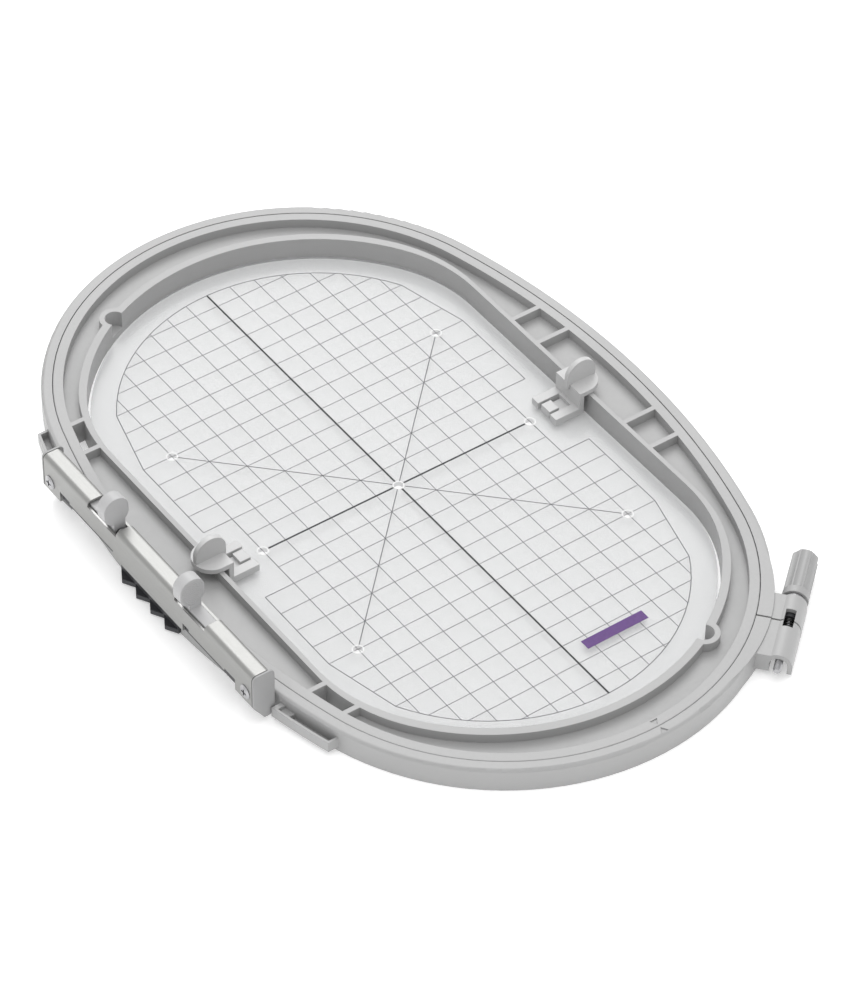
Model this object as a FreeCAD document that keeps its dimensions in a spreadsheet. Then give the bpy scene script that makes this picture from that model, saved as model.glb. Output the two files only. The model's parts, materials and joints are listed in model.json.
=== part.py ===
import FreeCAD, Part
import Sketcher
import math
import os
import re

# Large oval embroidery hoop.  Millimetres, +Z up.  The origin is the centre of the hoop on the
# plane it rests on.  +X is the long axis towards the clamp screw, -Y is the machine side, where
# the connector stands on the outer hoop.

Vector = FreeCAD.Vector
Rotation = FreeCAD.Rotation
Placement = FreeCAD.Placement

SIZES = [
    # hoops
    ("hoop_height", 10.0, "height of both hoops"),
    ("groove_half_length", 151.5, "outer edge of the channel of the inner hoop, half length"),
    ("groove_half_width", 98.2, "the same, half width"),
    ("groove_end_radius", 89.5, "the same, radius of the two end arcs"),
    ("rim_width", 3.9, "outer rim of the inner hoop"),
    ("fabric_gap", 0.2, "gap between the hoops, taken up by the fabric"),
    ("outer_wall", 4.2, "wall of the outer hoop"),
    ("top_round", 1.2, "rounding of the outer top edge"),
    ("seam_round", 0.4, "rounding of the edges that meet at the seam"),
    ("opening_half_width", 81.6, "sewing opening, straight sides"),
    ("opening_end_radius", 85.8, "sewing opening, end arcs"),
    ("opening_end_centre", 52.4, "x of the centres of the end arcs"),
    ("opening_blend", 60.0, "radius of the blend between sides and ends"),
    ("inner_wall_side", 1.9, "wall round the sewing opening, straight sides"),
    ("inner_wall_end", 3.2, "the same, round ends"),
    ("web_top", 6.0, "floor of the channel"),
    ("web_bottom", 3.5, "underside of that floor"),
    ("rib_width", 2.0, "ribs across the channel"),
    ("scallop_radius", 3.8, "half-round finger notches in the inner wall"),
    ("scallop_boss", 6.0, "round wall behind each notch"),
    ("scallop_floor", 3.0, "floor of each notch"),
    ("mark_depth", 0.4, "depth of the alignment triangles"),
    # flange of the outer hoop beside the connector
    ("flange_top", 6.4, "top of the flange"),
    ("flange_thickness", 1.6, "thickness of the flange"),
    ("flange_radius", 94.6, "radius of the edge of the flange"),
    ("flange_start", 69.2, "x where the flange comes out from under the connector"),
    ("pocket_floor", 3.0, "floor of the pocket in the flange"),
    # connector
    ("cover_half_length", 67.8, "sheet cover of the connector, half length"),
    ("cover_back", 102.4, "distance of its hoop side from the X axis"),
    ("cover_front", 110.0, "distance of its machine side from the X axis"),
    ("cover_top", 24.0, "top of the cover"),
    ("cover_skirt", 12.9, "lower edge of the cover, machine side"),
    ("cover_tab", 10.2, "lower edge of the tab in the middle"),
    ("cover_notch", 14.0, "top of the notches in the lower edge"),
    ("cover_lobe", 9.0, "lower edge at the screws"),
    ("cover_back_skirt", 10.2, "lower edge of the cover, hoop side"),
    ("sheet", 1.0, "thickness of the sheet"),
    ("cover_round", 2.0, "bend radius of the two long edges"),
    ("window_near", 19.0, "inner end of each lever window"),
    ("window_far", 37.9, "outer end of each lever window"),
    ("window_drop", 2.5, "how far each window runs down the sides"),
    ("cap_flange", 0.8, "thickness of the flange of an end cap"),
    ("cap_inner", 57.0, "inner end of the plug and foot of an end cap"),
    ("screw_x", 63.5, "cover screws"),
    ("screw_z", 13.6, "cover screws"),
    ("screw_head", 2.8, "radius of the heads of the cover screws"),
    ("arm_pin_x", 45.0, "seats for the two pins of the machine arm"),
    ("arm_pin_radius", 1.75, "radius of those seats"),
    ("arm_pin_depth", 6.0, "depth of those seats"),
    # levers
    ("lever_axis", -106.2, "y of the sliding bars, their springs and the arm pins"),
    ("fin_axis", -107.3, "y of the finger plates"),
    ("lever_near", 22.1, "inner face of each lever"),
    ("lever_thickness", 4.8, "thickness of each finger plate"),
    ("lever_travel", 3.0, "squeeze travel of each lever"),
    ("fin_radius", 5.0, "round top of each finger plate"),
    ("fin_top", 36.3, "top of each finger plate"),
    ("bar_top", 22.2, "top of the sliding bar"),
    ("bar_bottom", 17.0, "underside of the sliding bar"),
    ("bar_end", 51.5, "outer end of the sliding bar"),
    ("bar_width", 4.8, "width of the sliding bar"),
    # clamp
    ("clamp_turn", -49.2, "direction of the clamp screw about Z, in degrees"),
    ("clamp_offset", 105.0, "distance of the screw axis from the centre of the end arc"),
    ("clamp_axis_z", 5.5, "height of the screw axis"),
    ("lug_radius", 4.9, "outer radius of the arched lugs"),
    ("lug_inside", 3.2, "inner radius of the arched lugs"),
    ("lug_foot", 1.9, "underside of the lugs"),
    ("lug_start", -13.0, "end of the lug under the knob"),
    ("lug_end", 18.2, "open end of the other lug"),
    ("split_gap", 0.7, "gap where the outer hoop is split"),
    ("bolt_radius", 1.5, "clamp bolt"),
    ("bolt_end", 20.7, "free end of the bolt"),
    ("knob_radius", 5.0, "fluted knob"),
    ("knob_length", 24.2, "fluted knob"),
    # template
    ("template_thickness", 2.0, "clear template"),
    ("template_gap", 1.0, "gap round the template"),
    ("marking_hole", 1.75, "radius of the marking holes"),
    ("marking_pitch", 60.0, "distance of the marking holes from the middle"),
    ("clip_half_width", 7.5, "half width of the template clips"),
    # comb
    ("comb_centre", -2.5, "x of the middle of the comb under the connector"),
    ("comb_pitch", 9.35, "pitch of its teeth"),
    ("comb_depth", 2.75, "depth of its teeth"),
    ("comb_root", -107.05, "y of the roots of its teeth"),
    ("comb_back", -103.2, "y of its back edge"),
    ("comb_top", 2.5, "top of its plate"),
]

MIRROR_NAMES = {1: "right", -1: "left"}

doc = FreeCAD.newDocument("embroidery_hoop")
sheet = doc.addObject("Spreadsheet::Sheet", "Sizes")
for row, (alias, value, note) in enumerate(SIZES, start=1):
    sheet.set("A%d" % row, alias)
    sheet.set("B%d" % row, str(value))
    sheet.setAlias("B%d" % row, alias)
    sheet.set("C%d" % row, note)
doc.recompute()

ALIASES = re.compile(r"\b(" + "|".join(alias for alias, value, note in SIZES) + r")\b")
nodes = []


def size(alias):
    """Value of one cell of the sheet."""
    return float(sheet.get(alias))


def bind(item, path, value):
    """Drive a property from the sheet: the text may name any alias."""
    item.setExpression(path, ALIASES.sub(r"Sizes.\1", str(value)))


def primitive(kind, base, turn=None, **dimensions):
    """A Part primitive whose sizes and place follow the sheet."""
    item = doc.addObject("Part::" + kind, kind)
    for name, value in dimensions.items():
        bind(item, name, value)
    if turn:
        item.Placement = Placement(Vector(), Rotation(Vector(*turn[0]), turn[1]))
    for axis, value in zip("xyz", base):
        bind(item, "Placement.Base." + axis, value)
    return item


def block(low, high):
    """A box from its lowest to its highest corner, each coordinate a number or an expression."""
    spans = ["(%s) - (%s)" % (top, bottom) for bottom, top in zip(low, high)]
    return primitive("Box", low, Length=spans[0], Width=spans[1], Height=spans[2])


ALONG = {
    "x": ((0, 1, 0), 90),
    "y": ((1, 0, 0), -90),
    "z": None,
}


def rod(start, radius, length, along="z"):
    """A cylinder from start towards plus along."""
    return primitive("Cylinder", start, turn=ALONG[along], Radius=radius, Height=length)


def fuse(items):
    """One Part::MultiFuse of the items."""
    result = doc.addObject("Part::MultiFuse", "Fuse")
    result.Shapes = items
    return result


def cut(base, tools):
    """The base less every tool."""
    result = doc.addObject("Part::Cut", "Cut")
    result.Base = base
    result.Tool = tools[0] if len(tools) == 1 else fuse(tools)
    return result


def common(items):
    """What the items share."""
    result = doc.addObject("Part::MultiCommon", "Common")
    result.Shapes = items
    return result


def raw(shape, name="Outline"):
    """A shape of no primitive kind, worked out from the sheet."""
    item = doc.addObject("Part::Feature", name)
    item.Shape = shape
    return item


def node(item, label):
    """Name the finished sub-part and list it for export."""
    item.Label = label
    nodes.append(item)
    return item


def mirrored(item):
    """The mirror image of an item in the plane x = 0."""
    result = doc.addObject("Part::Mirroring", "Mirror")
    result.Source = item
    result.Base = Vector()
    result.Normal = Vector(1, 0, 0)
    return result


def extrude(wire, bottom, top):
    """A prism between two heights on a closed wire drawn at z = 0."""
    face = Part.Face(wire)
    face.translate(Vector(0, 0, bottom))
    return face.extrude(Vector(0, 0, top - bottom))


def polygon(points, direction, origin=Vector()):
    """A prism on a closed polygon of points, extruded by a vector."""
    corners = [origin + Vector(*point) for point in points]
    return Part.Face(Part.makePolygon(corners + corners[:1])).extrude(Vector(*direction))


def arc(centre, radius, start, end):
    """Arc of a circle in the XY plane, angles in radians, counterclockwise."""
    middle = (start + end) / 2
    points = [Vector(centre[0] + radius * math.cos(a), centre[1] + radius * math.sin(a), 0)
              for a in (start, middle, end)]
    return Part.Arc(*points).toShape()


def oval(offset):
    """Four-arc oval: the outer edge of the channel, moved outwards by offset."""
    length = size("groove_half_length")
    width = size("groove_half_width")
    end = size("groove_end_radius")
    centre = length - end
    side = (centre ** 2 + width ** 2 - end ** 2) / (2 * (width - end))
    turn = math.atan2(side - width, centre)
    return Part.Wire([
        arc((centre, 0), end + offset, -turn, turn),
        arc((0, width - side), side + offset, turn, math.pi - turn),
        arc((-centre, 0), end + offset, math.pi - turn, math.pi + turn),
        arc((0, side - width), side + offset, math.pi + turn, 2 * math.pi - turn),
    ])


def opening(side, end):
    """Outline of the sewing opening, moved outwards by one amount at the sides, another at the ends."""
    width = size("opening_half_width") + side
    radius = size("opening_end_radius") + end
    centre = size("opening_end_centre")
    blend = size("opening_blend") + (side + end) / 2
    rise = width - blend
    reach = math.sqrt((radius - blend) ** 2 - rise ** 2)
    turn = math.atan2(rise, reach)
    x = centre + reach
    return Part.Wire([
        arc((centre, 0), radius, -turn, turn),
        arc((x, rise), blend, turn, math.pi / 2),
        Part.LineSegment(Vector(x, width, 0), Vector(-x, width, 0)).toShape(),
        arc((-x, rise), blend, math.pi / 2, math.pi - turn),
        arc((-centre, 0), radius, math.pi - turn, math.pi + turn),
        arc((-x, -rise), blend, math.pi + turn, 3 * math.pi / 2),
        Part.LineSegment(Vector(-x, -width, 0), Vector(x, -width, 0)).toShape(),
        arc((x, -rise), blend, 3 * math.pi / 2, 2 * math.pi - turn),
    ])


def rounded_top(prism, radius):
    """The prism with the edges of its top face rounded."""
    top = max(prism.Faces, key=lambda face: face.CenterOfMass.z)
    return prism.makeFillet(radius, top.Edges)


def ring_cut(wire_outside, wire_inside, bottom, top):
    """A closed band between two outlines."""
    return extrude(wire_outside, bottom, top).cut(extrude(wire_inside, bottom, top))


# ---------------------------------------------------------------- clamp frame

def clamp_frame():
    """Local X runs along the clamp screw, local Y points out of the end arc of the hoop."""
    centre = size("groove_half_length") - size("groove_end_radius")
    return Placement(Vector(centre, 0, 0), Rotation(Vector(0, 0, 1), size("clamp_turn")))


def at_clamp(item):
    """Move an item that was modelled in the clamp frame to its place on the hoop."""
    item.Placement = clamp_frame()
    return item


CLAMP_Y = "clamp_offset"
CLAMP_Z = "clamp_axis_z"
LUG_WALLS = [("lug_start", -10.5), (4.5, 6.0), (9.2, 10.7)]
WINDOW_ALONG = (-5.5, 3.1)
WINDOW_ACROSS = (-1.6, 2.1)


def lug_blank():
    """Both arched lugs in one piece, with the block that joins them to the hoop."""
    length = "lug_end - lug_start"
    arch = rod(("lug_start", CLAMP_Y, CLAMP_Z), "lug_radius", length, "x")
    legs = block(("lug_start", CLAMP_Y + " - lug_radius", "lug_foot"),
                 ("lug_end", CLAMP_Y + " + lug_radius", CLAMP_Z))
    bridge = block(("lug_start", CLAMP_Y + " - 11", "lug_foot"),
                   ("lug_end", CLAMP_Y, "clamp_axis_z + lug_radius - 0.9"))
    return at_clamp(fuse([arch, legs, bridge]))


def lug_cutters():
    """The arched channel between the cross walls, their bores, the window and the split."""
    tools = []
    ends = [wall[1] for wall in LUG_WALLS]
    starts = [wall[0] for wall in LUG_WALLS[1:]] + ["lug_end + 1"]
    for start, end in zip(ends, starts):
        span = "(%s) - (%s)" % (end, start)
        tools.append(rod((start, CLAMP_Y, CLAMP_Z), "lug_inside", span, "x"))
        tools.append(block((start, CLAMP_Y + " - lug_inside", -1),
                           (end, CLAMP_Y + " + lug_inside", CLAMP_Z)))
    tools.append(rod(("lug_start - 1", CLAMP_Y, CLAMP_Z), "bolt_radius + 0.25",
                     "lug_end - lug_start", "x"))
    tools.append(block((WINDOW_ALONG[0], CLAMP_Y + " + %g" % WINDOW_ACROSS[0], CLAMP_Z),
                       (WINDOW_ALONG[1], CLAMP_Y + " + %g" % WINDOW_ACROSS[1], 12)))
    tools.append(block(("-split_gap / 2", 80, -1), ("split_gap / 2", 115, 12)))
    return at_clamp(fuse(tools))


# ---------------------------------------------------------------- outer hoop

def ring_outside():
    return size("rim_width") + size("fabric_gap") + size("outer_wall")


FLANGE_KNEE = 100.0
FLANGE_SLOPE = 0.095


def flange():
    """Right-hand flange: level beside the connector, then running down to nothing."""
    start = size("flange_start")
    top = size("flange_top")
    under = top - size("flange_thickness")
    knee = FLANGE_KNEE
    slope = FLANGE_SLOPE
    profile = polygon([
        (start, 0, under), (knee, 0, under), (knee + under / slope, 0, 0),
        (150, 0, 0), (150, 0, top - 50 * slope), (knee, 0, top), (start, 0, top),
    ], (0, -125, 0))
    disc = rod((63, -9, 0), "flange_radius", "flange_top")
    return common([raw(profile), disc])


POCKET_END = 93.5
POCKET_STEP = 75.5
POCKET_WIDTH = 3.0
POCKET_WALL = 1.0


def pocket_wall():
    """Wall of the pocket in the right-hand flange, below the flange."""
    outside = ring_outside()
    band = ring_cut(oval(outside + POCKET_WIDTH + POCKET_WALL), oval(outside - 1),
                    size("pocket_floor") - POCKET_WALL, size("flange_top"))
    slab = block(("flange_start", -125, 0), (POCKET_END + POCKET_WALL, -80, "flange_top"))
    return common([raw(band), slab])


def pocket_cutter():
    """Space of the pocket, with the raised step that it has next to the connector."""
    outside = ring_outside()
    floor = size("pocket_floor")
    top = size("flange_top") + 1
    band = ring_cut(oval(outside + POCKET_WIDTH), oval(outside), floor, top)
    deep = block((POCKET_STEP, -125, 0), (POCKET_END, -80, 12))
    step = block((71.2, -125, "flange_top - 1.3"), (POCKET_STEP, -80, 12))
    return common([raw(band), fuse([deep, step])])


def triangle_mark(tip_x, base_x, half):
    """Alignment triangle engraved in the top of a hoop at its right-hand end."""
    top = size("hoop_height")
    depth = size("mark_depth")
    corners = [(tip_x, 0, top - depth), (base_x, half, top - depth), (base_x, -half, top - depth)]
    return raw(polygon(corners, (0, 0, 1)))


LUG_SWELL_CENTRE = (80.5, 16.0)
LUG_SWELL_RADIUS = 74.5


def outer_hoop():
    """Split ring with clamp lugs and, on the machine side, flanges beside the connector."""
    height = size("hoop_height")
    outside = ring_outside()
    inside = size("rim_width") + size("fabric_gap")
    outer = rounded_top(extrude(oval(outside), 0, height), size("top_round"))
    ring = outer.cut(extrude(oval(inside), -1, height + 1))
    swell = rod((*LUG_SWELL_CENTRE, 0), LUG_SWELL_RADIUS, "hoop_height")
    parts = [raw(ring), lug_blank(), swell]
    cutters = [raw(extrude(oval(inside), -1, height + 2)), lug_cutters()]
    for copy in (lambda item: item, mirrored):
        parts.append(copy(flange()))
        parts.append(copy(pocket_wall()))
        cutters.append(copy(pocket_cutter()))
    cutters.append(block(("comb_centre - 2 * comb_pitch - 0.2", -108, -1),
                         ("comb_centre + 2 * comb_pitch + 0.2", "comb_back + 0.2", "comb_top + 0.1")))
    cutters.append(triangle_mark(156.4, 158.8, 1.6))
    return node(cut(fuse(parts), cutters), "outer_hoop")


# ---------------------------------------------------------------- inner hoop

CHANNEL_RIBS_BACK = (26.8, 42.8)
CHANNEL_RIBS_FRONT = (73.0, 88.5)
SCALLOP_AT = (128.9, 40.6)


def channel(bottom, top):
    """The channel between the rim and the inner wall, between two heights."""
    inside = opening(size("inner_wall_side"), size("inner_wall_end"))
    return ring_cut(oval(0), inside, bottom, top)


def inner_hoop():
    """Rim, channel floor and inner wall, with ribs, finger notches and open boxes."""
    height = size("hoop_height")
    blank = rounded_top(extrude(oval(size("rim_width")), 0, height), size("seam_round"))
    blank = blank.cut(extrude(opening(0, 0), -1, height + 1))
    blank = blank.cut(channel(size("web_top"), height + 1))
    blank = blank.cut(channel(-1, size("web_bottom")))
    ribs = []
    for x in CHANNEL_RIBS_BACK:
        ribs += [block(("%g - rib_width / 2" % (side * x), 70, "web_bottom"),
                       ("%g + rib_width / 2" % (side * x), 110, "hoop_height"))
                 for side in (1, -1)]
    for x in CHANNEL_RIBS_FRONT:
        ribs += [block(("%g - rib_width / 2" % (side * x), -110, 0),
                       ("%g + rib_width / 2" % (side * x), -70, "hoop_height"))
                 for side in (1, -1)]
    bosses = [rod((side * SCALLOP_AT[0], side * SCALLOP_AT[1], 0), "scallop_boss", "hoop_height")
              for side in (1, -1)]
    filling = common([raw(channel(0, height)), fuse(ribs + bosses)])
    x_near, x_far = CHANNEL_RIBS_FRONT
    boxes = [block(("%g + rib_width / 2" % low, -110, -1), ("%g - rib_width / 2" % high, -70, 12))
             for low, high in ((x_near, x_far), (-x_far, -x_near))]
    holes = common([raw(channel(-1, height + 1)), fuse(boxes)])
    notches = [rod((side * SCALLOP_AT[0], side * SCALLOP_AT[1], "scallop_floor"),
                   "scallop_radius", 12) for side in (1, -1)]
    mark = triangle_mark(154.6, 152.2, 1.6)
    return node(cut(fuse([raw(blank), filling]), [holes, mark] + notches), "inner_hoop")


# ---------------------------------------------------------------- template

def padded_body(label, wire, bottom, thickness):
    """A PartDesign body: one sketch on the XY plane, padded by a cell of the sheet."""
    body = doc.addObject("PartDesign::Body", label)
    sketch = body.newObject("Sketcher::SketchObject", label + "_sketch")
    plane = [item for item in body.Origin.OriginFeatures if item.Role == "XY_Plane"][0]
    sketch.AttachmentSupport = [(plane, "")]
    sketch.MapMode = "FlatFace"
    for edge in wire.OrderedEdges:
        sketch.addGeometry(edge_geometry(edge), False)
    pad = body.newObject("PartDesign::Pad", label + "_pad")
    pad.Profile = sketch
    bind(pad, "Length", thickness)
    bind(body, "Placement.Base.z", bottom)
    body.Label = label
    return body


def edge_geometry(edge):
    """Sketch geometry of a straight or round edge."""
    start = edge.valueAt(edge.FirstParameter)
    end = edge.valueAt(edge.LastParameter)
    if isinstance(edge.Curve, Part.Line):
        return Part.LineSegment(start, end)
    middle = edge.valueAt((edge.FirstParameter + edge.LastParameter) / 2)
    return Part.Arc(start, middle, end)


def template_plate():
    """Clear plate with seven marking holes: the middle, two on Y and four on the diagonals."""
    gap = size("template_gap")
    outline = opening(-gap, -gap)
    plate = padded_body("template_blank", outline, 0, "template_thickness")
    steps = [(0, 0), (0, 1), (0, -1), (1, 1), (1, -1), (-1, 1), (-1, -1)]
    holes = [rod(("%d * marking_pitch" % x, "%d * marking_pitch" % y, -1), "marking_hole", 4)
             for x, y in steps]
    return node(cut(plate, holes), "template_plate")


CLIP_WALL = (77.4, 79.4)
CLIP_HOOK = (83.7, 85.0)
CLIP_DECK_ROUND = 82.0
CLIP_FOOT_TIP = 66.5
CLIP_FIN_Y = 82.8
CLIP_FIN_TOP = 21.4
CLIP_FIN_RADIUS = 6.4


def template_clip(label, side):
    """Clip that holds the template to the inner wall: foot, wall, round top, hook and fin."""
    wide = "clip_half_width"
    foot_top = "template_thickness + 3"
    deck = "hoop_height + 0.2"
    deck_top = "hoop_height + 2.2"
    near, far = CLIP_WALL
    foot = block(("-" + wide, CLIP_FOOT_TIP, "template_thickness"), (wide, far, foot_top))
    wall = block(("-" + wide, near, "template_thickness"), (wide, far, deck_top))
    flat = block(("-" + wide, near, deck), (wide, CLIP_DECK_ROUND, deck_top))
    disc = common([rod((0, CLIP_DECK_ROUND, deck), wide, 2.0),
                   block(("-" + wide, near, deck), (wide, 95, deck_top))])
    hook = block((-4, CLIP_HOOK[0], 7.4), (4, CLIP_HOOK[1], deck))
    fin_centre = CLIP_FIN_TOP - CLIP_FIN_RADIUS
    fin_low = block((-1, CLIP_FIN_Y - CLIP_FIN_RADIUS, deck),
                    (1, CLIP_FIN_Y + CLIP_FIN_RADIUS, fin_centre))
    above_deck = block((-1, 70, deck), (1, 95, CLIP_FIN_TOP))
    fin_round = common([rod((-1, CLIP_FIN_Y, fin_centre), CLIP_FIN_RADIUS, 2, "x"), above_deck])
    slots = [block((low, 60, 0), (high, 76, 6)) for low, high in ((-3.7, -2.6), (2.6, 3.7))]
    front = block((-3, 60, 0), (3, CLIP_FOOT_TIP + 0.6, 6))
    recess = block((-2.7, CLIP_FOOT_TIP + 5, "template_thickness + 1.4"), (2.7, 76, 6))
    solid = cut(fuse([foot, wall, flat, disc, hook, fin_low, fin_round]), slots + [front, recess])
    if side < 0:
        solid.Placement = Placement(Vector(), Rotation(Vector(0, 0, 1), 180))
    return node(solid, label)


# ---------------------------------------------------------------- connector

COVER_LOWER_EDGE = [
    (-57.0, -50.4, "cover_notch"),
    (-50.4, -21.5, "cover_skirt"),
    (-21.5, 23.8, "cover_tab"),
    (23.8, 27.8, "cover_notch"),
    (27.8, 50.4, "cover_skirt"),
    (50.4, 57.0, "cover_notch"),
]


def connector_cover():
    """Bent sheet cover: two windows for the levers, lobes at the screws, a tab in the middle."""
    outer = block(("-cover_half_length", "-cover_front", "cover_lobe"),
                  ("cover_half_length", "-cover_back", "cover_top"))
    doc.recompute()
    long_edges = [number for number, edge in enumerate(outer.Shape.Edges, start=1)
                  if edge.BoundBox.XLength > 1 and edge.BoundBox.ZMin > size("cover_top") - 0.1]
    bent = doc.addObject("Part::Fillet", "Bend")
    bent.Base = outer
    radius = size("cover_round")
    bent.Edges = [(number, radius, radius) for number in long_edges]
    hollow = block(("-cover_half_length - 1", "-cover_front + sheet", 0),
                   ("cover_half_length + 1", "-cover_back - sheet", "cover_top - sheet"))
    tools = [hollow]
    tools.append(block((-70, "-cover_back - sheet - 0.5", 0), (70, -100, "cover_back_skirt")))
    for low, high, lower_edge in COVER_LOWER_EDGE:
        tools.append(block((low, -112, 0), (high, "-cover_front + 1.5", lower_edge)))
    for side in (1, -1):
        window = sorted([side * size("window_near"), side * size("window_far")])
        tools.append(block((window[0], -112, "cover_top - window_drop"), (window[1], -100, 30)))
        tools.append(rod(("%d * screw_x" % side, "-cover_front - 1", "screw_z"), 1.7, 3, "y"))
    return node(cut(bent, tools), "connector_cover")


CAP_BOTTOM = 2.4
CAP_FOOT = (-105.5, -103.2)
CAP_BACK = -101.2


def end_cap(side):
    """Plastic end of the connector: flange, plug inside the cover and foot beside the hoop."""
    front = -size("cover_front")
    back = -size("cover_back")
    wall = size("sheet")
    top = size("cover_top")
    inner = size("cap_inner")
    inside = size("cover_half_length")
    lobe = size("cover_lobe")
    toe, heel = CAP_FOOT
    outline = [(inside, CAP_BACK, top), (inside, front, top), (inside, front, lobe),
               (inside, toe, CAP_BOTTOM), (inside, heel, CAP_BOTTOM), (inside, CAP_BACK, 5.2)]
    plate = polygon(outline, (size("cap_flange"), 0, 0))
    long_edges = [edge for edge in plate.Edges
                  if edge.BoundBox.XLength > 0.5 and edge.BoundBox.ZMin > top - 0.1]
    plate = plate.makeFillet(size("cover_round"), long_edges)
    seat = size("cover_back_skirt") - 0.2
    foot_outline = [(inner, front + wall, 12.4), (inner, front + wall, lobe - 0.2),
                    (inner, toe, CAP_BOTTOM), (inner, heel, CAP_BOTTOM),
                    (inner, back - 0.1, 6.0), (inner, back - 0.1, seat),
                    (inner, back - wall - 0.1, seat), (inner, back - wall - 0.1, 12.4)]
    foot = polygon(foot_outline, (inside - inner, 0, 0))
    plug = block(("cap_inner", "-cover_front + sheet", 12),
                 ("cover_half_length", "-cover_back - sheet", "cover_top - sheet"))
    pilot = rod(("screw_x", "-cover_front", "screw_z"), 1.55, 6, "y")
    solid = cut(fuse([raw(plate), raw(foot), plug]), [pilot])
    if side < 0:
        solid = mirrored(solid)
    return node(solid, "connector_end_cap_" + MIRROR_NAMES[side])


def connector_screws():
    """The two cover screws: domed heads with a cross recess."""
    screws = []
    for side in (1, -1):
        x = "%d * screw_x" % side
        shank = rod((x, "-cover_front - 0.1", "screw_z"), 1.5, 5.5, "y")
        head = rod((x, "-cover_front - 0.3", "screw_z"), "screw_head", 0.3, "y")
        dome = primitive("Cone", (x, "-cover_front - 0.3", "screw_z"), turn=((1, 0, 0), 90),
                         Radius1="screw_head", Radius2="screw_head - 0.8", Height=0.5)
        recess = [block((x + " - %g" % wide, "-cover_front - 2", "screw_z - %g" % tall),
                        (x + " + %g" % wide, "-cover_front - 0.2", "screw_z + %g" % tall))
                  for wide, tall in ((1.5, 0.35), (0.35, 1.5))]
        screws.append(cut(fuse([shank, head, dome]), recess))
    group = doc.addObject("Part::Compound", "Screws")
    group.Links = screws
    return node(group, "connector_screws")


BEAM_HALF = 56.8
SLOT_END = 54.5
SPRING_AXIS = ("lever_axis", "19.6")
SPRING_START = 6.2
SPRING_LENGTH = 22.3


def connector_beam():
    """Plastic beam inside the cover: slots for the lever bars, spring bores and pin seats."""
    core = block((-BEAM_HALF, "-cover_front + sheet + 0.1", "hoop_height"),
                 (BEAM_HALF, "-cover_back - sheet - 0.1", "cover_top - sheet - 0.2"))
    tools = []
    for side in (1, -1):
        slot = sorted([side * (size("window_near") - 0.1), side * SLOT_END])
        tools.append(block((slot[0], -112, "bar_bottom - 0.9"), (slot[1], -100, 30)))
        bore = sorted([side * SPRING_START, side * 20])
        tools.append(rod((bore[0], *SPRING_AXIS), 1.9, bore[1] - bore[0], "x"))
        tools.append(rod(("%d * arm_pin_x" % side, "lever_axis", "hoop_height - 1"),
                         "arm_pin_radius", "arm_pin_depth + 1.2"))
    return node(cut(core, tools), "connector_beam")


def lever_spring(side):
    """Envelope of a compression spring, drawn at its shortest length."""
    start = sorted([side * SPRING_START, side * (SPRING_START + SPRING_LENGTH)])[0]
    outer = rod((start, *SPRING_AXIS), 1.75, SPRING_LENGTH, "x")
    inner = rod((start - 1, *SPRING_AXIS), 1.05, SPRING_LENGTH + 2, "x")
    return node(cut(outer, [inner]), "lever_spring_" + MIRROR_NAMES[side])


def lever(side):
    """Finger plate and sliding bar in one piece, with a blind bore for the spring."""
    far = "lever_near + lever_thickness"
    low_centre = "cover_top + fin_radius + 0.1"
    bar_side = "lever_axis - bar_width / 2"
    other_side = "lever_axis + bar_width / 2"
    bar = block(("lever_near", bar_side, "bar_bottom"), ("bar_end", other_side, "bar_top"))
    neck = block(("lever_near", bar_side, "bar_top - 1"), (far, other_side, low_centre))
    upper = rod(("lever_near", "fin_axis", "fin_top - fin_radius"), "fin_radius",
                "lever_thickness", "x")
    lower = rod(("lever_near", "fin_axis", low_centre), "fin_radius", "lever_thickness", "x")
    middle = block(("lever_near", "fin_axis - fin_radius", low_centre),
                   (far, "fin_axis + fin_radius", "fin_top - fin_radius"))
    bore = rod(("lever_near - 1", *SPRING_AXIS), 1.9, 11, "x")
    solid = cut(fuse([bar, neck, upper, lower, middle]), [bore])
    if side < 0:
        solid = mirrored(solid)
    return node(solid, "lever_" + MIRROR_NAMES[side])


def latch(side):
    """Steel latch plate under the bar: its hole frees the arm pin when the lever is squeezed."""
    plate = block((30, "lever_axis - bar_width / 2 + 0.1", "bar_bottom - 0.8"),
                  ("bar_end - 0.3", "lever_axis + bar_width / 2 - 0.1", "bar_bottom"))
    hole = rod(("arm_pin_x + lever_travel", "lever_axis", 0), 1.5, 30)
    solid = cut(plate, [hole])
    if side < 0:
        solid = mirrored(solid)
    return node(solid, "latch_" + MIRROR_NAMES[side])


COMB_BOTTOM = 0.5
COMB_UPSTAND = (0.5, 5.5)


def coding_comb():
    """Dark comb plate under the connector, let into the underside of the outer hoop."""
    centre = size("comb_centre")
    pitch = size("comb_pitch")
    start = centre - 2 * pitch
    end = centre + 2 * pitch
    root = size("comb_root")
    back = size("comb_back")
    points = [Vector(start, back, 0), Vector(start, root, 0)]
    for tooth in range(4):
        points.append(Vector(start + (tooth + 0.5) * pitch, root - size("comb_depth"), 0))
        points.append(Vector(start + (tooth + 1) * pitch, root, 0))
    points.append(Vector(end, back, 0))
    outline = Part.makePolygon(points + points[:1])
    teeth = padded_body("comb_plate", outline, COMB_BOTTOM, "comb_top - %g" % COMB_BOTTOM)
    thickness, top = COMB_UPSTAND
    upstand = block(("comb_centre - 2 * comb_pitch", "comb_root", COMB_BOTTOM),
                    ("comb_centre + 2 * comb_pitch", "comb_root + %g" % thickness, top))
    return node(fuse([teeth, upstand]), "coding_comb")


# ---------------------------------------------------------------- clamp screw

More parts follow.
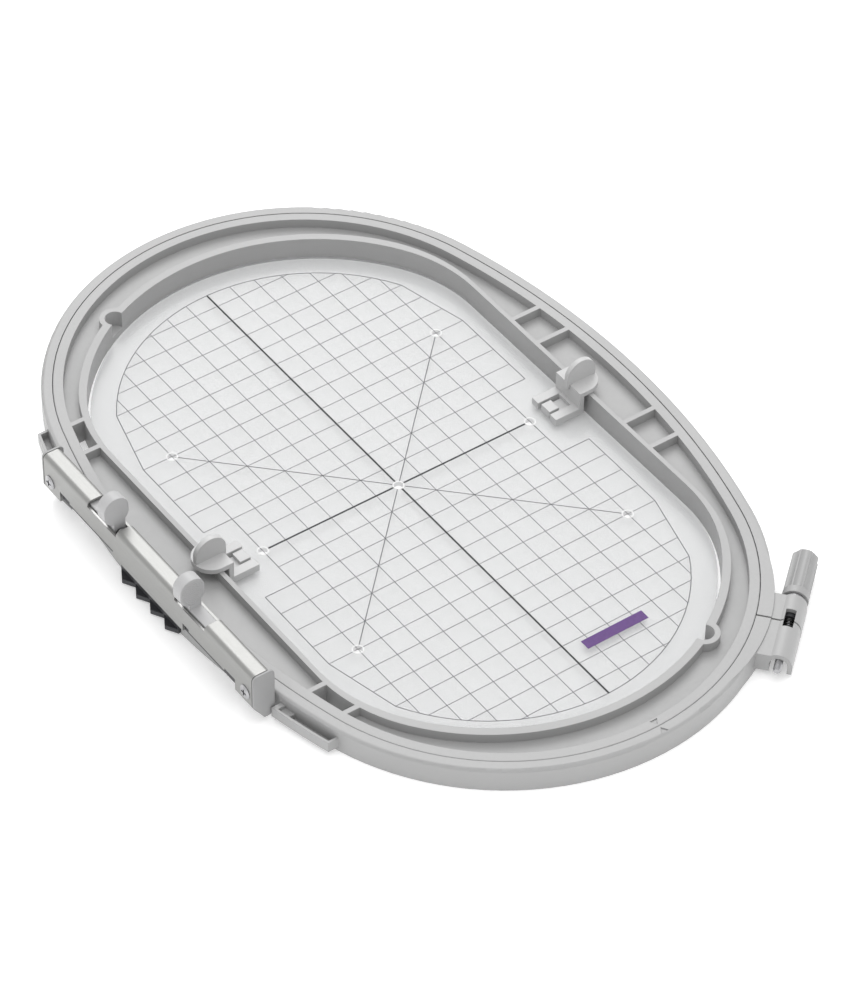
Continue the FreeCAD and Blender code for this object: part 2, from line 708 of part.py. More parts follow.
def clamp_nut():
    """Hexagon nut held between two cross walls of the lug."""
    length = 3.0
    across = 5.5
    blank = doc.addObject("Part::Prism", "Hexagon")
    blank.Polygon = 6
    bind(blank, "Circumradius", across / math.sqrt(3))
    bind(blank, "Height", length)
    blank.Placement = Placement(Vector(6.1, size("clamp_offset"), size("clamp_axis_z")),
                                Rotation(Vector(0, 1, 0), 90))
    bore = rod((5, CLAMP_Y, CLAMP_Z), "bolt_radius + 0.05", 6, "x")
    return node(at_clamp(cut(blank, [bore])), "clamp_nut")


def sleeve(label, start, end, outside, inside):
    """Plain ring on the clamp axis."""
    outer = rod((start, CLAMP_Y, CLAMP_Z), outside, end - start, "x")
    inner = rod((start - 1, CLAMP_Y, CLAMP_Z), inside, end - start + 2, "x")
    return node(at_clamp(cut(outer, [inner])), label)


KNOB_END = -14.6


def clamp_bolt():
    """Bolt from inside the knob to the free end beyond the lug."""
    bolt = rod((KNOB_END - 16, CLAMP_Y, CLAMP_Z), "bolt_radius", "bolt_end - (%g)" % (KNOB_END - 16),
               "x")
    tip = rod(("bolt_end", CLAMP_Y, CLAMP_Z), 0.9, 0.6, "x")
    return node(at_clamp(fuse([bolt, tip])), "clamp_bolt")


def clamp_knob():
    """Fluted knob: a padded disc, chamfered, with one flute repeated eight times round it."""
    body = doc.addObject("PartDesign::Body", "Knob")
    plane = [item for item in body.Origin.OriginFeatures if item.Role == "XY_Plane"][0]

    def circle(name, x, radius, drive):
        sketch = body.newObject("Sketcher::SketchObject", name)
        sketch.AttachmentSupport = [(plane, "")]
        sketch.MapMode = "FlatFace"
        sketch.addGeometry(Part.Circle(Vector(x, 0, 0), Vector(0, 0, 1), radius), False)
        number = sketch.addConstraint(Sketcher.Constraint("Radius", 0, radius))
        bind(sketch, "Constraints[%d]" % number, drive)
        return sketch

    pad = body.newObject("PartDesign::Pad", "KnobPad")
    pad.Profile = circle("KnobOutline", 0, size("knob_radius"), "knob_radius")
    bind(pad, "Length", "knob_length")
    doc.recompute()
    ends = [number for number, edge in enumerate(pad.Shape.Edges, start=1)
            if edge.BoundBox.ZLength < 0.1 and edge.BoundBox.ZMin > size("knob_length") - 0.1]
    chamfer = body.newObject("PartDesign::Chamfer", "KnobChamfer")
    chamfer.Base = (pad, ["Edge%d" % number for number in ends])
    chamfer.Size = 2.4
    doc.recompute()
    flute = circle("FluteOutline", size("knob_radius") + 1.1, 2.1, "2.1")
    flute.AttachmentOffset = Placement(Vector(0, 0, 3.2), Rotation())
    pocket = body.newObject("PartDesign::Pocket", "Flute")
    pocket.Profile = flute
    pocket.Reversed = True
    bind(pocket, "Length", "knob_length")
    doc.recompute()
    pattern = body.newObject("PartDesign::PolarPattern", "Flutes")
    pattern.Originals = [pocket]
    pattern.Axis = ([item for item in body.Origin.OriginFeatures if item.Role == "Z_Axis"][0], [""])
    pattern.Angle = 360
    pattern.Occurrences = 8
    body.Tip = pattern
    doc.recompute()
    if pattern.Shape.Volume > chamfer.Shape.Volume - 8:
        raise RuntimeError("the flutes of the knob cut nothing")
    turned = Placement(Vector(KNOB_END, size("clamp_offset"), size("clamp_axis_z")),
                       Rotation(Vector(0, 1, 0), -90))
    body.Placement = turned
    bore = rod((KNOB_END - 16, CLAMP_Y, CLAMP_Z), "bolt_radius", 20, "x")
    return node(at_clamp(cut(body, [bore])), "clamp_knob")


# ---------------------------------------------------------------- build and write

outer_hoop()
inner_hoop()
template_plate()
template_clip("template_clip_rear", 1)
template_clip("template_clip_front", -1)
connector_cover()
connector_screws()
connector_beam()
for hand in (1, -1):
    end_cap(hand)
    lever(hand)
    latch(hand)
    lever_spring(hand)
coding_comb()
clamp_nut()
sleeve("clamp_washer", -14.5, -13.1, 4.2, 1.6)
sleeve("clamp_collar", -10.4, -3.9, 2.9, 1.6)
sleeve("clamp_spring", -3.8, 4.4, 2.4, 1.7)
clamp_bolt()
clamp_knob()
doc.recompute()

for item in doc.Objects:
    if "Invalid" in item.State or "Error" in item.State:
        raise RuntimeError("%s (%s) failed: %s" % (item.Name, item.Label, item.State))

os.makedirs("parts", exist_ok=True)
for item in nodes:
    shape = item.Shape
    if shape.isNull() or not shape.isValid():
        raise RuntimeError("%s has no valid shape" % item.Label)
    shape.exportStep(os.path.join("parts", item.Label + ".step"))
    print("%-26s solids %d  volume %9.1f mm3" % (item.Label, len(shape.Solids), shape.Volume))
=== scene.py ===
import json
import math

import bpy
from mathutils import Matrix, Quaternion, Vector


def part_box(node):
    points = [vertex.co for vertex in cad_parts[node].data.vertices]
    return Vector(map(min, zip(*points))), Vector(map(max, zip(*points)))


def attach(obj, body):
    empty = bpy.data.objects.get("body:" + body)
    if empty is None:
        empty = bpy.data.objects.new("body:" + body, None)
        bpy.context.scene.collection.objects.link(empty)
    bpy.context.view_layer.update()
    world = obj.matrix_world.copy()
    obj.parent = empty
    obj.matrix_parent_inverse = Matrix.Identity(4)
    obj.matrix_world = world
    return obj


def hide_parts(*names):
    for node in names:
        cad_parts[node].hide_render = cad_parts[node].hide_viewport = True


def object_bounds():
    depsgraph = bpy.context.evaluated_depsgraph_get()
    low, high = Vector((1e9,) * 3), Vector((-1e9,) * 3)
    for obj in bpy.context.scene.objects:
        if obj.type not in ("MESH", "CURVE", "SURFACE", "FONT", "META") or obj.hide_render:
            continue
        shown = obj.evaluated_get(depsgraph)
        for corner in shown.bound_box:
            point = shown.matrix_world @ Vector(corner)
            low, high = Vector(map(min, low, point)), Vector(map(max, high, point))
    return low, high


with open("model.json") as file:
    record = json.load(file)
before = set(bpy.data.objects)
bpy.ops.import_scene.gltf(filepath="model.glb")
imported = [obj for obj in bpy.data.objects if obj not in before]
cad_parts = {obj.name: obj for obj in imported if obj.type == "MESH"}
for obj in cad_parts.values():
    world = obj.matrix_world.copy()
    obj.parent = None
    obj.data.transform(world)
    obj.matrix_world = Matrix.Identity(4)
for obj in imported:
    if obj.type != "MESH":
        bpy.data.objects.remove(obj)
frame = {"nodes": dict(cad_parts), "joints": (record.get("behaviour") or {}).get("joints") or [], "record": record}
cad_low, cad_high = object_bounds()

# Looks of a large oval embroidery hoop.  Lengths are in metres, so MM turns millimetres into them.
MM = 0.001

joints = {joint["name"]: joint for joint in frame["joints"]}


# ---------------------------------------------------------------- materials

def new_material(name):
    """A new material with its node tree and its main shader."""
    material = bpy.data.materials.new(name)
    material.use_nodes = True
    return material, material.node_tree, material.node_tree.nodes["Principled BSDF"]


def noise(tree, scale, detail=3.0, stretch=(1, 1, 1)):
    """Noise that is fixed to the piece; scale is in cycles per metre."""
    place = tree.nodes.new("ShaderNodeTexCoord")
    mapping = tree.nodes.new("ShaderNodeMapping")
    mapping.inputs["Scale"].default_value = stretch
    texture = tree.nodes.new("ShaderNodeTexNoise")
    texture.inputs["Scale"].default_value = scale
    texture.inputs["Detail"].default_value = detail
    tree.links.new(place.outputs["Object"], mapping.inputs["Vector"])
    tree.links.new(mapping.outputs["Vector"], texture.inputs["Vector"])
    return texture.outputs["Fac"]


NOISE_MIDDLE = (0.3, 0.7)


def spread(tree, value, low, high):
    """The middle of a noise's range mapped to low..high."""
    remap = tree.nodes.new("ShaderNodeMapRange")
    remap.inputs["From Min"].default_value = NOISE_MIDDLE[0]
    remap.inputs["From Max"].default_value = NOISE_MIDDLE[1]
    remap.inputs["To Min"].default_value = low
    remap.inputs["To Max"].default_value = high
    tree.links.new(value, remap.inputs["Value"])
    return remap.outputs["Result"]


def tint(tree, shader, colour, amount, value):
    """Base colour that varies by amount either side of colour, after a noise."""
    mix = tree.nodes.new("ShaderNodeMix")
    mix.data_type = "RGBA"
    mix.inputs["A"].default_value = [c * (1 - amount) for c in colour] + [1]
    mix.inputs["B"].default_value = [min(1, c * (1 + amount)) for c in colour] + [1]
    tree.links.new(spread(tree, value, 0, 1), mix.inputs["Factor"])
    tree.links.new(mix.outputs["Result"], shader.inputs["Base Color"])


def relief(tree, shader, height, depth, edge):
    """Surface relief of a given depth, over edges softened by the radius edge."""
    bump = tree.nodes.new("ShaderNodeBump")
    bump.inputs["Strength"].default_value = 1.0
    bump.inputs["Distance"].default_value = depth
    tree.links.new(height, bump.inputs["Height"])
    if edge:
        bevel = tree.nodes.new("ShaderNodeBevel")
        bevel.samples = 4
        bevel.inputs["Radius"].default_value = edge
        tree.links.new(bevel.outputs["Normal"], bump.inputs["Normal"])
    tree.links.new(bump.outputs["Normal"], shader.inputs["Normal"])


def plastic(name, colour, roughness=0.42, grain=0.006 * MM, edge=0.3 * MM, amount=0.03):
    """Moulded plastic: slow changes of tone, fine satin grain, softened edges."""
    material, tree, shader = new_material(name)
    tint(tree, shader, colour, amount, noise(tree, 28, 5))
    tree.links.new(spread(tree, noise(tree, 900, 4), roughness - 0.05, roughness + 0.07),
                   shader.inputs["Roughness"])
    relief(tree, shader, noise(tree, 2600, 2), grain, edge)
    return material


def metal(name, colour, roughness, stretch, grain=0.004 * MM, edge=0.08 * MM):
    """Metal with fine marks drawn out along one direction."""
    material, tree, shader = new_material(name)
    shader.inputs["Metallic"].default_value = 1.0
    tint(tree, shader, colour, 0.08, noise(tree, 300, 4, stretch))
    tree.links.new(spread(tree, noise(tree, 1500, 3, stretch), roughness - 0.08, roughness + 0.1),
                   shader.inputs["Roughness"])
    relief(tree, shader, noise(tree, 3500, 2, stretch), grain, edge)
    return material


def ink(name, colour):
    """Printing ink: a little uneven and less shiny than what it is printed on."""
    material, tree, shader = new_material(name)
    tint(tree, shader, colour, 0.12, noise(tree, 1200, 3))
    tree.links.new(spread(tree, noise(tree, 2500, 2), 0.45, 0.65), shader.inputs["Roughness"])
    return material


def clear_plastic(name):
    """Clear template plastic, slightly milky, with faint scuffs in its gloss.

    A ray meets its upper and its lower face, so the alpha acts twice.
    """
    material, tree, shader = new_material(name)
    tint(tree, shader, (0.40, 0.405, 0.41), 0.02, noise(tree, 25, 3))
    shader.inputs["Alpha"].default_value = 0.34
    shader.inputs["IOR"].default_value = 1.49
    tree.links.new(spread(tree, noise(tree, 240, 6, (1, 4, 1)), 0.10, 0.2),
                   shader.inputs["Roughness"])
    relief(tree, shader, noise(tree, 120, 2), 0.003 * MM, 0)
    return material


def cover_coat(name):
    """Satin silver coat on bent sheet, drawn lightly along its length."""
    material, tree, shader = new_material(name)
    along = (1, 14, 14)
    tint(tree, shader, (0.31, 0.31, 0.303), 0.03, noise(tree, 160, 4, along))
    shader.inputs["Metallic"].default_value = 0.85
    tree.links.new(spread(tree, noise(tree, 1200, 3, along), 0.36, 0.48), shader.inputs["Roughness"])
    relief(tree, shader, noise(tree, 1500, 3, along), 0.004 * MM, 0.15 * MM)
    return material


GREY = plastic("grey_plastic", (0.35, 0.35, 0.35))
CLIP = plastic("clip_plastic", (0.48, 0.48, 0.48))
CAP = plastic("cap_plastic", (0.31, 0.31, 0.312))
LEVER = plastic("lever_plastic", (0.41, 0.41, 0.413), edge=0.5 * MM)
KNOB = plastic("knob_plastic", (0.32, 0.32, 0.32), edge=0.25 * MM)
DARK = plastic("dark_plastic", (0.035, 0.036, 0.04), roughness=0.5)
CLEAR = clear_plastic("clear_plastic")
COVER = cover_coat("pale_cover")
STEEL = metal("steel", (0.40, 0.40, 0.41), 0.3, (1, 1, 1))
SPRING = metal("spring_steel", (0.42, 0.42, 0.43), 0.33, (1, 6, 1))
BLACK = metal("black_steel", (0.05, 0.05, 0.05), 0.4, (1, 1, 1))
INK_BLACK = ink("ink_black", (0.012, 0.012, 0.014))
INK_GREY = ink("ink_grey", (0.045, 0.045, 0.05))
RIM = plastic("marking_hole_rim", (0.60, 0.60, 0.60), roughness=0.25, edge=0)
CUT_EDGE = metal("cut_edge", (0.38, 0.38, 0.375), 0.4, (1, 12, 12))
SEAM = plastic("seam_shadow", (0.02, 0.02, 0.02), roughness=0.7, edge=0)
INK_PURPLE = ink("ink_purple", (0.075, 0.018, 0.15))

SLOT_MATERIALS = {
    "grey_plastic": GREY, "cap_plastic": CAP, "lever_plastic": LEVER, "knob_plastic": KNOB,
    "dark_plastic": DARK, "clear_plastic": CLEAR, "pale_cover": COVER, "steel": STEEL,
    "spring_steel": SPRING, "black_steel": BLACK,
}


def paint_nodes():
    """Every CAD node gets the material of its slot in the record, the clips a paler grey."""
    for part in frame["record"]["subparts"]:
        item = frame["nodes"][part["node"]]
        clip = part["node"].startswith("template_clip")
        item.data.materials.clear()
        item.data.materials.append(CLIP if clip else SLOT_MATERIALS[part["material_slot"]])


# ---------------------------------------------------------------- meshes

def piece(name, vertices, faces, material, body, smooth=False):
    """A new mesh piece that rides on a CAD body."""
    mesh = bpy.data.meshes.new(name)
    mesh.from_pydata([tuple(v) for v in vertices], [], faces)
    mesh.validate()
    mesh.polygons.foreach_set("use_smooth", [smooth] * len(mesh.polygons))
    mesh.materials.append(material)
    item = bpy.data.objects.new(name, mesh)
    bpy.context.scene.collection.objects.link(item)
    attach(item, body)
    return item


def ribbon(path, width, bottom, top, vertices, faces):
    """Adds a flat strip of a given width along a path of (x, y) points."""
    first = len(vertices)
    count = len(path)
    for number, point in enumerate(path):
        before = path[max(number - 1, 0)]
        after = path[min(number + 1, count - 1)]
        along = Vector((after[0] - before[0], after[1] - before[1])).normalized()
        side = Vector((-along.y, along.x)) * width / 2
        for height in (bottom, top):
            for sign in (1, -1):
                vertices.append((point[0] + sign * side.x, point[1] + sign * side.y, height))
    for number in range(count - 1):
        a = first + 4 * number
        b = a + 4
        faces += [(a, a + 1, b + 1, b), (a + 2, b + 2, b + 3, a + 3),
                  (a, b, b + 2, a + 2), (a + 1, a + 3, b + 3, b + 1)]
    last = first + 4 * (count - 1)
    faces += [(first, first + 2, first + 3, first + 1), (last, last + 1, last + 3, last + 2)]


def annulus(centre, inner, outer, bottom, top, vertices, faces):
    """Adds a flat ring round a point."""
    sides = 32
    first = len(vertices)
    for number in range(sides):
        angle = 2 * math.pi * number / sides
        for radius in (inner, outer):
            for height in (bottom, top):
                vertices.append((centre[0] + radius * math.cos(angle),
                                 centre[1] + radius * math.sin(angle), height))
    for number in range(sides):
        a = first + 4 * number
        b = first + 4 * ((number + 1) % sides)
        faces += [(a, a + 1, b + 1, b), (a + 2, b + 2, b + 3, a + 3),
                  (a + 1, a + 3, b + 3, b + 1), (a, b, b + 2, a + 2)]


def tube_faces(rings, sides):
    """Quads between the rings of a tube whose points are stored ring after ring."""
    faces = []
    for ring in range(rings - 1):
        for side in range(sides):
            a = ring * sides + side
            b = ring * sides + (side + 1) % sides
            faces.append((a, b, b + sides, a + sides))
    return faces


# ---------------------------------------------------------------- template print

PITCH = 10 * MM
GRID_LINES = (12, 6)
GRID_WIDTH = 0.24 * MM
FIELD_WIDTH = 0.28 * MM
DIAGONAL_WIDTH = 0.3 * MM
CENTRE_WIDTH = 0.75 * MM
BAR_X = 104 * MM
BAR_ENDS = (7 * MM, 34 * MM)
BAR_WIDTH = 4.4 * MM
INK_THICKNESS = 0.03 * MM
MARKING_SPACING = 60 * MM
MARKING_RADIUS = 1.75 * MM
MARKING_RIM = (0.02 * MM, 0.5 * MM)
FIELD_HALF_WIDTH = 72.5 * MM
FIELD_NOTCH = (20 * MM, 60 * MM)
FIELD_BEVEL = (60 * MM, 90 * MM, 65 * MM)
FIELD_ARC = (52.4 * MM, 75.1 * MM)


def field_half_width(x):
    """Half width of the printed field at a distance x from its middle."""
    x = abs(x)
    start, end, low = FIELD_BEVEL
    hair = 0.01 * MM
    if x < FIELD_NOTCH[0] - hair:
        return FIELD_NOTCH[1]
    if x <= start:
        return FIELD_HALF_WIDTH
    if x <= end:
        return FIELD_HALF_WIDTH - (FIELD_HALF_WIDTH - low) * (x - start) / (end - start)
    return math.sqrt(max(FIELD_ARC[1] ** 2 - (x - FIELD_ARC[0]) ** 2, 0))


def field_half_length(y):
    """Half length of the printed field at a distance y from its middle."""
    y = abs(y)
    start, end, low = FIELD_BEVEL
    if y <= low:
        return FIELD_ARC[0] + math.sqrt(FIELD_ARC[1] ** 2 - y ** 2)
    return end - (end - start) * (y - low) / (FIELD_HALF_WIDTH - low)


def field_outline():
    """Corner points and arc points of the whole outline of the field."""
    tip = math.atan2(FIELD_BEVEL[2], FIELD_BEVEL[1] - FIELD_ARC[0])
    steps = 28
    arc = [(FIELD_ARC[0] + FIELD_ARC[1] * math.cos(tip * (1 - 2 * i / steps)),
            FIELD_ARC[1] * math.sin(tip * (1 - 2 * i / steps))) for i in range(steps + 1)]
    start = FIELD_BEVEL[0]
    notch_x, notch_y = FIELD_NOTCH
    upper = [(-start, FIELD_HALF_WIDTH), (-notch_x, FIELD_HALF_WIDTH), (-notch_x, notch_y),
             (notch_x, notch_y), (notch_x, FIELD_HALF_WIDTH), (start, FIELD_HALF_WIDTH)]
    half = upper + arc
    return half + [(-x, -y) for x, y in half] + upper[:1]


def template_print():
    """Thin printed lines on the clear template: field, grid, centre lines, diagonals, bar.

    Layers that cross have different thicknesses, so no two of their faces lie in one plane.
    """
    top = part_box("template_plate")[1].z
    spacing = MARKING_SPACING
    hole = MARKING_RADIUS

    def layer(name, paths, width, thicknesses, material):
        vertices, faces = [], []
        for path in paths:
            ribbon(path, width, top, top + thicknesses * INK_THICKNESS, vertices, faces)
        piece(name, vertices, faces, material, "template")

    across, along = GRID_LINES
    grid = []
    for number in range(-across, across + 1):
        x = number * PITCH
        if number:
            grid.append([(x, -field_half_width(x)), (x, field_half_width(x))])
    for number in range(-along, along + 1):
        y = number * PITCH
        reach = field_half_length(y)
        if number:
            grid.append([(-reach, y), (reach, y)])
    layer("print_grid", grid, GRID_WIDTH, 1, INK_GREY)

    corners = field_outline()
    edges = [[start, end] for start, end in zip(corners, corners[1:])]
    layer("print_field_edge", edges, FIELD_WIDTH, 1.3, INK_GREY)

    reach = field_half_length(0)
    axes = [[(side * hole, 0), (side * reach, 0)] for side in (1, -1)]
    axes += [[(0, side * hole), (0, side * (spacing - hole))] for side in (1, -1)]
    layer("print_centre_lines", axes, CENTRE_WIDTH, 1.6, INK_BLACK)

    near = hole / math.sqrt(2)
    far = spacing - near
    quadrants = [(a, b) for a in (1, -1) for b in (1, -1)]
    diagonals = [[(a * near, b * near), (a * far, b * far)] for a, b in quadrants]
    layer("print_diagonals", diagonals, DIAGONAL_WIDTH, 1.45, INK_GREY)
    layer("print_bar", [[(BAR_X, y) for y in BAR_ENDS]], BAR_WIDTH, 2, INK_PURPLE)

    vertices, faces = [], []
    rim_top = top + 2.2 * INK_THICKNESS
    centres = [(0, 0), (0, spacing), (0, -spacing)]
    centres += [(a * spacing, b * spacing) for a, b in quadrants]
    for centre in centres:
        annulus(centre, hole + MARKING_RIM[0], hole + MARKING_RIM[1], top, rim_top, vertices, faces)
    piece("marking_hole_rims", vertices, faces, RIM, "template")


# ---------------------------------------------------------------- springs and thread

CLAMP_SPRING_RADIUS = 2.4 * MM
CLAMP_SPRING_WIRE = 0.33 * MM
CLAMP_SPRING_TURNS = 6.5
LEVER_SPRING_WIRE = 0.3 * MM
LEVER_SPRING_TURNS = 15
BOLT_RADIUS = 1.5 * MM
THREAD_PITCH = 0.5 * MM


def axis_frame(start, direction):
    """Matrix whose local Z runs along direction from start."""
    turn = Vector(direction).to_track_quat("Z", "Y").to_matrix().to_4x4()
    return Matrix.Translation(start) @ turn


def coil(name, place, length, radius, wire, turns, material, body, node):
    """Compression spring with closed ends, in place of its CAD envelope; wire is a radius."""
    sides = 8
    steps = 20
    closed = 1.2
    rise = 2.05 * wire
    total = int(turns * steps)
    vertices = []
    for step in range(total + 1):
        turn = step / steps
        free = min(max(turn - closed, 0), turns - 2 * closed) / (turns - 2 * closed)
        ends = min(turn, closed) + min(max(turn - turns + closed, 0), closed)
        height = wire + rise * ends + free * (length - 2 * wire - 2 * rise * closed)
        angle = 2 * math.pi * turn
        out = Vector((math.cos(angle), math.sin(angle), 0))
        centre = out * (radius - wire) + Vector((0, 0, height))
        for side in range(sides):
            tilt = 2 * math.pi * side / sides
            point = centre + out * (wire * math.cos(tilt)) + Vector((0, 0, wire * math.sin(tilt)))
            vertices.append(place @ point)
    faces = tube_faces(total + 1, sides)
    faces.append(tuple(range(sides)))
    faces.append(tuple(reversed(range(total * sides, (total + 1) * sides))))
    item = piece(name, vertices, faces, material, body, smooth=True)
    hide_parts(node)


def threaded_bolt(place, length, radius, pitch):
    """Bolt with a real thread and a narrowed tip, in place of the plain CAD bolt."""
    sides = 20
    rings = int(length / (pitch / 4))
    depth = 0.55 * pitch
    tip_length = 1.2 * pitch
    tip_depth = 0.25 * radius
    vertices = []
    for ring in range(rings + 1):
        height = length * ring / rings
        fade = min(1, (length - height) / tip_length)
        for side in range(sides):
            angle = 2 * math.pi * side / sides
            phase = (height / pitch - side / sides) % 1
            crest = 1 - abs(2 * phase - 1)
            reach = radius - depth * (1 - crest) - (1 - fade) * tip_depth
            vertices.append(place @ Vector((reach * math.cos(angle), reach * math.sin(angle),
                                            height)))
    faces = tube_faces(rings + 1, sides)
    faces.append(tuple(reversed(range(sides))))
    faces.append(tuple(range(rings * sides, (rings + 1) * sides)))
    item = piece("clamp_bolt_thread", vertices, faces, STEEL, "clamp_knob")
    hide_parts("clamp_bolt")


def clamp_parts():
    """Spring and bolt on the clamp axis, placed from the joint of the clamp screw."""
    joint = joints["clamp_screw_turn"]
    along = -Vector(joint["axis"]).normalized()
    anchor = Vector(joint["pos_m"])

    def stretch(node):
        vertices = frame["nodes"][node].data.vertices
        values = [(vertex.co - anchor).dot(along) for vertex in vertices]
        start = min(values)
        return axis_frame(anchor + along * start, along), max(values) - start

    place, length = stretch("clamp_spring")
    coil("clamp_spring_coil", place, length, CLAMP_SPRING_RADIUS, CLAMP_SPRING_WIRE,
         CLAMP_SPRING_TURNS, BLACK, "outer_hoop", "clamp_spring")
    place, length = stretch("clamp_bolt")
    threaded_bolt(place, length, BOLT_RADIUS, THREAD_PITCH)


def lever_springs():
    """Coils between the middle of the connector and the two levers."""
    for side, name in ((1, "right"), (-1, "left")):
        node = "lever_spring_" + name
        low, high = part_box(node)
        middle = (low + high) / 2
        start = Vector((low.x if side > 0 else high.x, middle.y, middle.z))
        coil(node + "_coil", axis_frame(start, (side, 0, 0)), high.x - low.x,
             (high.z - low.z) / 2, LEVER_SPRING_WIRE, LEVER_SPRING_TURNS, SPRING,
             "outer_hoop", node)


# ---------------------------------------------------------------- connector trim

COVER_BEND = 2.0 * MM
WINDOW = (19.0 * MM, 37.9 * MM)
WINDOW_DROP = 2.5 * MM
SHEET = 1.0 * MM
SEAM_WIDTH = 0.3 * MM
SEAM_THICKNESS = 0.03 * MM
SEAM_FOOT_FRONT = 0.3 * MM
SEAM_FOOT_BACK = 1.6 * MM
RAIL_MARGIN = 0.05 * MM
RAIL_WIDTH = SHEET - 0.4 * MM
RAIL_THICKNESS = 0.04 * MM
GRIP_FACE = 26.9 * MM
GRIP_RADIUS = 5.0 * MM
GRIP_MARGIN = 0.55 * MM
RIB_COUNT = 13
RIB_SPACING = 0.95 * MM
RIB_HEIGHT = 0.28 * MM
RIB_SHORTEST = 2 * MM
TOP_RIB_DROP = 1.2 * MM


def cover_outline(low, high, offset):
    """Section of the cover's outer face as (y, z), from front foot to back foot, grown by offset."""
    front = low.y - offset
    back = high.y + offset
    top = high.z + offset
    bend = COVER_BEND + offset
    turns = [math.pi / 2 * step / 6 for step in range(7)]
    outline = [(front, low.z + SEAM_FOOT_FRONT)]
    outline += [(front + bend * (1 - math.cos(turn)), top - bend * (1 - math.sin(turn)))
                for turn in turns]
    outline += [(back - bend * (1 - math.sin(turn)), top - bend * (1 - math.cos(turn)))
                for turn in turns]
    return outline + [(back, low.z + SEAM_FOOT_BACK)]


def cover_seams():
    """Dark line round each end of the cover, where it meets the end cap."""
    low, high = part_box("connector_cover")
    vertices, faces = [], []
    for side in (1, -1):
        end = high.x if side > 0 else low.x
        first = len(vertices)
        for offset in (0, SEAM_THICKNESS):
            outline = cover_outline(low, high, offset)
            vertices += [(x, y, z) for y, z in outline for x in (end, end - side * SEAM_WIDTH)]
        count = len(outline)
        above = first + 2 * count
        for number in range(count - 1):
            a = first + 2 * number
            b = above + 2 * number
            faces += [(a, a + 1, a + 3, a + 2), (b, b + 2, b + 3, b + 1),
                      (a, a + 2, b + 2, b), (a + 1, b + 1, b + 3, a + 3)]
        last = 2 * (count - 1)
        faces += [(first, above, above + 1, first + 1),
                  (first + last, first + last + 1, above + last + 1, above + last)]
    piece("cover_seams", vertices, faces, SEAM, "outer_hoop")


def window_rails():
    """Bright cut edge of the sheet along the machine side of each lever window."""
    low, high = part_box("connector_cover")
    base = high.z - WINDOW_DROP
    y = low.y + SHEET / 2
    vertices, faces = [], []
    for side in (1, -1):
        start = side * (WINDOW[0] + RAIL_MARGIN)
        end = side * (WINDOW[1] - RAIL_MARGIN)
        ribbon([(start, y), (end, y)], RAIL_WIDTH, base, base + RAIL_THICKNESS, vertices, faces)
    piece("window_rails", vertices, faces, CUT_EDGE, "outer_hoop")


def grip_ribs():
    """Fine ribs across the outer face of each finger plate, as long as its outline allows."""
    rib = RIB_HEIGHT
    profile = [(-rib, 0.8), (0, 0.5), (0.75 * rib, 0), (0, -0.5), (-rib, -0.8)]
    size = len(profile)
    for side, name in ((1, "right"), (-1, "left")):
        low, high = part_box("lever_" + name)
        middle = low.y + GRIP_RADIUS
        top_centre = high.z - GRIP_RADIUS
        low_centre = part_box("connector_cover")[1].z + GRIP_RADIUS + 0.1 * MM
        vertices, faces = [], []
        for number in range(RIB_COUNT):
            z = high.z - TOP_RIB_DROP - number * RIB_SPACING
            over = max(z - top_centre, low_centre - z, 0)
            half = math.sqrt(max(GRIP_RADIUS ** 2 - over ** 2, 0)) - GRIP_MARGIN
            if half < RIB_SHORTEST / 2:
                continue
            first = len(vertices)
            for y in (middle - half, middle + half):
                for out, across in profile:
                    vertices.append((side * (GRIP_FACE + out), y, z + across * rib))
            for k in range(size):
                a = first + k
                b = first + (k + 1) % size
                faces.append((a, b, b + size, a + size))
            faces.append(tuple(range(first, first + size)))
            faces.append(tuple(reversed(range(first + size, first + 2 * size))))
        piece("grip_ribs_" + name, vertices, faces, LEVER, "lever_" + name)


# ---------------------------------------------------------------- studio

CAMERA_TARGET = Vector((11.25, 2.56, 2.0)) * MM
CAMERA_DISTANCE = 1589.1 * MM
CAMERA_AZIMUTH = 53.76
CAMERA_ELEVATION = 44.16
CAMERA_ROLL = math.radians(1.053)
CAMERA_LENS = 156.4
FLOOR_HALF = 4.0
FLOOR_DROP = 0.15 * MM


def outward(azimuth, elevation):
    """Unit vector from the object towards an azimuth and elevation in degrees; -Y is azimuth 0."""
    a = math.radians(azimuth)
    e = math.radians(elevation)
    return Vector((math.sin(a) * math.cos(e), -math.cos(a) * math.cos(e), math.sin(e)))


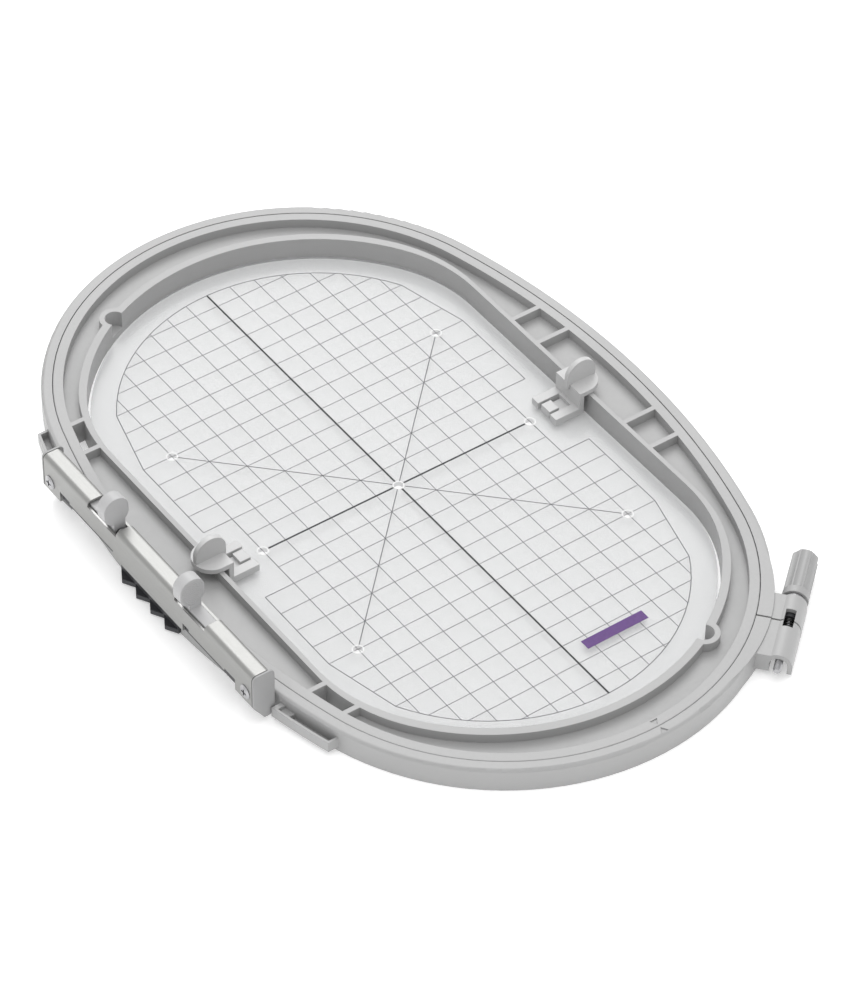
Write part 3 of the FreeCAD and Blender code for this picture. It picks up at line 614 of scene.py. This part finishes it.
def studio_camera():
    """Long lens, a little rolled."""
    back = outward(CAMERA_AZIMUTH, CAMERA_ELEVATION)
    data = bpy.data.cameras.new("studio_camera")
    data.lens = CAMERA_LENS
    data.sensor_width = 36
    data.clip_end = 20
    camera = bpy.data.objects.new("studio_camera", data)
    camera.location = CAMERA_TARGET + back * CAMERA_DISTANCE
    level = (-back).to_track_quat("-Z", "Y")
    roll = Quaternion((0, 0, 1), CAMERA_ROLL)
    camera.rotation_euler = (level @ roll).to_euler()
    bpy.context.scene.collection.objects.link(camera)
    bpy.context.scene.camera = camera


def soft_box(name, azimuth, elevation, distance, size, power):
    """Square area light that faces the middle of the object."""
    back = outward(azimuth, elevation)
    data = bpy.data.lights.new(name, "AREA")
    data.size = size
    data.energy = power
    light = bpy.data.objects.new(name, data)
    light.location = back * distance
    light.rotation_euler = (-back).to_track_quat("-Z", "Y").to_euler()
    bpy.context.scene.collection.objects.link(light)


def paper_floor():
    """Wide white floor just under the object."""
    z = cad_low.z - FLOOR_DROP
    corners = [(x * FLOOR_HALF, y * FLOOR_HALF, z) for x, y in ((-1, -1), (1, -1), (1, 1), (-1, 1))]
    mesh = bpy.data.meshes.new("floor")
    mesh.from_pydata(corners, [], [(0, 1, 2, 3)])
    floor = bpy.data.objects.new("floor", mesh)
    material, tree, shader = new_material("floor_paper")
    tint(tree, shader, (0.90, 0.90, 0.90), 0.005, noise(tree, 6, 3))
    shader.inputs["Roughness"].default_value = 0.9
    shader.inputs["Specular IOR Level"].default_value = 0.1
    shader.inputs["Emission Color"].default_value = (1, 1, 1, 1)
    shader.inputs["Emission Strength"].default_value = 0.3
    mesh.materials.append(material)
    bpy.context.scene.collection.objects.link(floor)


def studio():
    """Paper floor, white surroundings and two large soft lights."""
    paper_floor()
    world = bpy.data.worlds.new("studio")
    world.use_nodes = True
    background = world.node_tree.nodes["Background"]
    background.inputs["Color"].default_value = (1, 1, 1, 1)
    background.inputs["Strength"].default_value = 0.95
    bpy.context.scene.world = world
    soft_box("key", azimuth=236, elevation=47, distance=1.8, size=1.1, power=13)
    soft_box("top", azimuth=0, elevation=89, distance=2.0, size=1.4, power=9)
    bpy.context.scene.view_settings.view_transform = "Standard"


paint_nodes()
template_print()
clamp_parts()
lever_springs()
cover_seams()
window_rails()
grip_ribs()
studio_camera()
studio()
